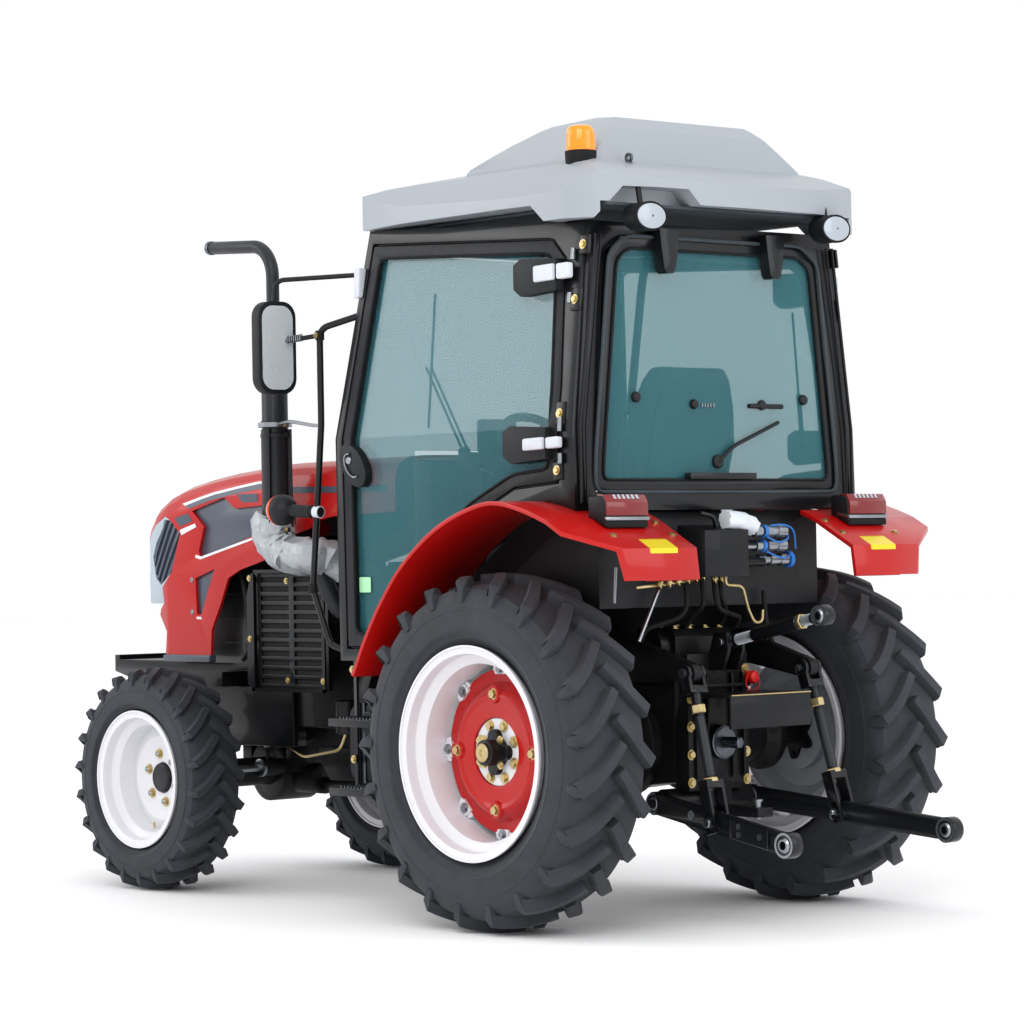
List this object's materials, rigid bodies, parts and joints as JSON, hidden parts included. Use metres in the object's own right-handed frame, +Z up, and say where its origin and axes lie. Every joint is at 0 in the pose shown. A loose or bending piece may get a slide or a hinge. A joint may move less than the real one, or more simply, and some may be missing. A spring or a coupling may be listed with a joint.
{
  "type": "farm tractor",
  "caption": "Four-wheel-drive farm tractor with a glazed cab, hinged hood, steered front wheels, lugged tyres and a rear three-point linkage with power take-off.",
  "frame": {"origin": "On the ground, under the middle of the tractor's overall box", "axes": "+X forward, +Y to the driver's left, +Z up"},
  "size_m": [4.2299, 1.83, 2.896],
  "materials": {
    "amber_lens": "amber moulded",
    "bare_steel": "machined",
    "black_enamel": "satin enamel",
    "black_plastic": "moulded",
    "lamp_lens": "clear moulded",
    "red_enamel": "gloss enamel",
    "roof_plastic": "satin moulded",
    "seat_cloth": "woven",
    "stack_steel": "heat-proof black",
    "tinted_glass": "tinted",
    "tyre_rubber": "moulded",
    "white_wheel_enamel": "gloss enamel"
  },
  "bodies": {
    "chassis": {"beacon": "amber_lens", "cab_floor": "black_enamel", "cab_frame": "black_enamel", "console": "black_plastic", "engine": "black_enamel", "exhaust": "stack_steel", "fender_left": "red_enamel", "fender_right": "red_enamel", "front_axle": "black_enamel", "front_frame": "black_enamel", "fuel_tank": "black_plastic", "handrails": "black_enamel", "lift_cover": "black_enamel", "mirrors": "black_plastic", "pto_guard": "black_enamel", "pto_shaft": "bare_steel", "radiator": "black_enamel", "rear_bracket": "black_enamel", "rear_glass": "tinted_glass", "rear_window": "black_enamel", "roof": "roof_plastic", "seat": "seat_cloth", "seat_base": "black_plastic", "side_screens": "black_enamel", "steering_wheel": "black_plastic", "steps": "black_enamel", "tail_lamps": "lamp_lens", "transmission": "black_enamel", "valve_block": "black_enamel", "windscreen": "tinted_glass", "work_lamps": "lamp_lens"},
    "hood": {"hood": "red_enamel", "grille": "black_plastic", "headlamps": "lamp_lens"},
    "door_left": {"door_left": "black_enamel", "door_glass_left": "tinted_glass"},
    "door_right": {"door_right": "black_enamel", "door_glass_right": "tinted_glass"},
    "rear_wheel_left": {"rear_tyre_left": "tyre_rubber", "rear_rim_left": "white_wheel_enamel", "rear_disc_left": "red_enamel", "rear_hub_left": "black_enamel"},
    "rear_wheel_right": {"rear_tyre_right": "tyre_rubber", "rear_rim_right": "white_wheel_enamel", "rear_disc_right": "red_enamel", "rear_hub_right": "black_enamel"},
    "front_wheel_left": {"front_tyre_left": "tyre_rubber", "front_rim_left": "white_wheel_enamel", "front_hub_left": "black_enamel"},
    "front_wheel_right": {"front_tyre_right": "tyre_rubber", "front_rim_right": "white_wheel_enamel", "front_hub_right": "black_enamel"},
    "steering_left": {"knuckle_left": "black_enamel"},
    "steering_right": {"knuckle_right": "black_enamel"},
    "lift": {"lift_arms": "black_enamel"},
    "lift_rod_left": {"lift_rod_left": "black_enamel"},
    "lift_rod_right": {"lift_rod_right": "black_enamel"},
    "lower_link_left": {"lower_link_left": "black_enamel"},
    "lower_link_right": {"lower_link_right": "black_enamel"},
    "top_link": {"top_link": "black_enamel"}
  },
  "joints": [
    {"name": "rear_wheel_left_spin", "type": "hinge", "parent": "chassis", "child": "rear_wheel_left", "pos_m": [-1, 0.74, 0.632], "axis": [0, 1, 0], "continuous": true},
    {"name": "steer_left", "type": "hinge", "parent": "chassis", "child": "steering_left", "pos_m": [1.28, 0.47, 0.447], "axis": [0, 0, 1], "range_deg": [-40, 40]},
    {"name": "front_wheel_left_spin", "type": "hinge", "parent": "steering_left", "child": "front_wheel_left", "pos_m": [1.28, 0.63, 0.447], "axis": [0, 1, 0], "continuous": true},
    {"name": "door_left_swing", "type": "hinge", "parent": "chassis", "child": "door_left", "pos_m": [-1.3, 0.735, 1.65], "axis": [0, -0.1146, 0.9934], "range_deg": [0, 75]},
    {"name": "rear_wheel_right_spin", "type": "hinge", "parent": "chassis", "child": "rear_wheel_right", "pos_m": [-1, -0.74, 0.632], "axis": [0, 1, 0], "continuous": true},
    {"name": "steer_right", "type": "hinge", "parent": "chassis", "child": "steering_right", "pos_m": [1.28, -0.47, 0.447], "axis": [0, 0, 1], "range_deg": [-40, 40]},
    {"name": "front_wheel_right_spin", "type": "hinge", "parent": "steering_right", "child": "front_wheel_right", "pos_m": [1.28, -0.63, 0.447], "axis": [0, 1, 0], "continuous": true},
    {"name": "door_right_swing", "type": "hinge", "parent": "chassis", "child": "door_right", "pos_m": [-1.3, -0.735, 1.65], "axis": [0, -0.1146, -0.9934], "range_deg": [0, 75]},
    {"name": "hood_lift", "type": "hinge", "parent": "chassis", "child": "hood", "pos_m": [0.11, 0, 1.65], "axis": [0, -1, 0], "range_deg": [0, 50]},
    {"name": "lift_raise", "type": "hinge", "parent": "chassis", "child": "lift", "pos_m": [-1.16, 0, 0.98], "axis": [0, 1, 0], "range_deg": [-6, 44]},
    {"name": "lower_link_left_raise", "type": "hinge", "parent": "chassis", "child": "lower_link_left", "pos_m": [-1.25, 0.235, 0.43], "axis": [0, 1, 0], "range_deg": [-5.5, 39.5]},
    {"name": "lift_rod_left_swing", "type": "hinge", "parent": "lift", "child": "lift_rod_left", "pos_m": [-1.5, 0.29, 0.9], "axis": [0, 1, 0], "range_deg": [-46.5, 6.5]},
    {"name": "lower_link_right_raise", "type": "hinge", "parent": "chassis", "child": "lower_link_right", "pos_m": [-1.25, -0.235, 0.43], "axis": [0, 1, 0], "range_deg": [-5.5, 39.5]},
    {"name": "lift_rod_right_swing", "type": "hinge", "parent": "lift", "child": "lift_rod_right", "pos_m": [-1.5, -0.29, 0.9], "axis": [0, 1, 0], "range_deg": [-46.5, 6.5]},
    {"name": "top_link_swing", "type": "hinge", "parent": "chassis", "child": "top_link", "pos_m": [-1.395, 0, 1], "axis": [0, 1, 0], "range_deg": [-40, 25]}
  ],
  "couplings": [
    {"joint": "steer_right", "follows": "steer_left", "ratio": 1},
    {"joint": "lower_link_left_raise", "follows": "lift_raise", "ratio": 0.8882},
    {"joint": "lift_rod_left_swing", "follows": "lift_raise", "ratio": -1.0512},
    {"joint": "lower_link_right_raise", "follows": "lift_raise", "ratio": 0.8882},
    {"joint": "lift_rod_right_swing", "follows": "lift_raise", "ratio": -1.0512}
  ]
}
